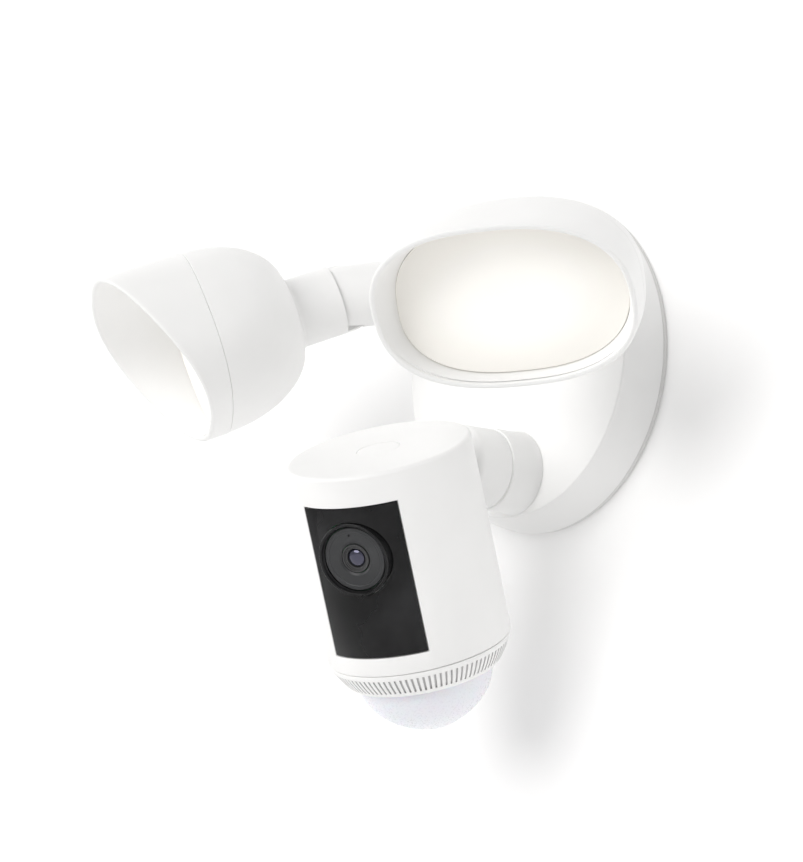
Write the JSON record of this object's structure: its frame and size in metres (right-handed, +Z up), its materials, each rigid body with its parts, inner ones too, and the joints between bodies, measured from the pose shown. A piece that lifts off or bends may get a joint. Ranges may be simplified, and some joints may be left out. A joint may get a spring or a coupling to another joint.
{
  "type": "floodlight security camera",
  "caption": "Wall-mounted security camera on a ball pivot below a round base that carries twin hooded floodlights on swivelling, tilting knuckles.",
  "frame": {"origin": "centre of the wall plane, on the back of the steel wall bracket", "axes": "-Y points away from the wall, +Z up, +X to the right as a viewer faces the light, looking along +Y; lamp_right is at +X"},
  "size_m": [0.2591, 0.1418, 0.1928],
  "materials": {
    "white_plastic": "fine satin moulded plastic",
    "reflector_white": "matt warm white",
    "diffuser": "frosted warm white, lit from behind",
    "gloss_black": "piano black gloss",
    "lens_grey": "dark grey satin",
    "lens_glass": "coated lens glass",
    "motion_dome": "translucent bluish white",
    "rubber": "matt off-white rubber",
    "steel": "plated steel",
    "aluminium": "bare extruded",
    "circuit_board": "green solder mask",
    "dark_plastic": "black moulded"
  },
  "bodies": {
    "base": {"base_shell": "white_plastic", "wall_gasket": "rubber", "rear_cover": "dark_plastic", "wall_bracket": "steel", "cover_screw_1": "steel", "cover_screw_2": "steel", "cover_screw_3": "steel", "power_board": "circuit_board", "driver_transformer": "dark_plastic", "terminal_block": "white_plastic", "filter_capacitor": "dark_plastic", "stub_left": "white_plastic", "stub_right": "white_plastic", "arm_boss": "white_plastic"},
    "swivel_right": {"swivel_right": "white_plastic", "hinge_pin_right": "steel"},
    "lamp_right": {"housing_right": "white_plastic", "bezel_right": "white_plastic", "lamp_seal_right": "rubber", "reflector_right": "reflector_white", "diffuser_right": "diffuser", "led_board_right": "circuit_board", "heat_sink_right": "aluminium"},
    "swivel_left": {"swivel_left": "white_plastic", "hinge_pin_left": "steel"},
    "lamp_left": {"housing_left": "white_plastic", "bezel_left": "white_plastic", "lamp_seal_left": "rubber", "reflector_left": "reflector_white", "diffuser_left": "diffuser", "led_board_left": "circuit_board", "heat_sink_left": "aluminium"},
    "arm": {"camera_arm": "white_plastic"},
    "pivot": {"pivot_ball": "dark_plastic", "tilt_pin": "steel"},
    "head": {"head_housing": "white_plastic", "faceplate": "gloss_black", "lens_ring": "gloss_black", "lens_window": "lens_grey", "lens_barrel": "dark_plastic", "lens_glass": "lens_glass", "sensor_board": "circuit_board", "speaker_grille": "white_plastic", "ball_cradle": "dark_plastic", "main_board": "circuit_board", "processor_shield": "aluminium", "speaker": "dark_plastic", "motion_board": "circuit_board", "motion_sensor": "steel", "infrared_led_1": "dark_plastic", "infrared_led_2": "dark_plastic", "button_switch": "steel", "button_board": "circuit_board", "motion_dome": "motion_dome"},
    "button": {"setup_button": "white_plastic"}
  },
  "joints": [
    {"name": "lamp_swivel_right", "type": "hinge", "parent": "base", "child": "swivel_right", "pos_m": [0.0522, -0.0532, 0.0258], "axis": [0.5693, -0.8071, -0.1564], "range_deg": [-43.5, 46.5]},
    {"name": "lamp_tilt_right", "type": "hinge", "parent": "swivel_right", "child": "lamp_right", "pos_m": [0.0522, -0.0532, 0.0258], "axis": [0.8211, 0.5676, 0.0603], "range_deg": [-37.1, 20.9]},
    {"name": "lamp_swivel_left", "type": "hinge", "parent": "base", "child": "swivel_left", "pos_m": [-0.0522, -0.0532, 0.0258], "axis": [0.5693, 0.8071, 0.1564], "range_deg": [-30.2, 59.8]},
    {"name": "lamp_tilt_left", "type": "hinge", "parent": "swivel_left", "child": "lamp_left", "pos_m": [-0.0522, -0.0532, 0.0258], "axis": [0.7899, -0.5898, 0.1681], "range_deg": [-32, 26]},
    {"name": "camera_arm_turn", "type": "hinge", "parent": "base", "child": "arm", "pos_m": [0, -0.0304, -0.04], "axis": [0, -1, 0], "range_deg": [-25, 25]},
    {"name": "camera_tilt", "type": "hinge", "parent": "arm", "child": "pivot", "pos_m": [0, -0.0625, -0.046], "axis": [0.9839, 0, -0.1788], "range_deg": [-18, 8]},
    {"name": "camera_pan", "type": "hinge", "parent": "pivot", "child": "head", "pos_m": [0, -0.0625, -0.046], "axis": [0.1624, -0.4179, 0.8939], "range_deg": [-48, 4]},
    {"name": "button_press", "type": "slide", "parent": "head", "child": "button", "axis": [-0.1624, 0.4179, -0.8939], "range_m": [0, 0.0008], "stiffness_N_per_m": 600}
  ]
}
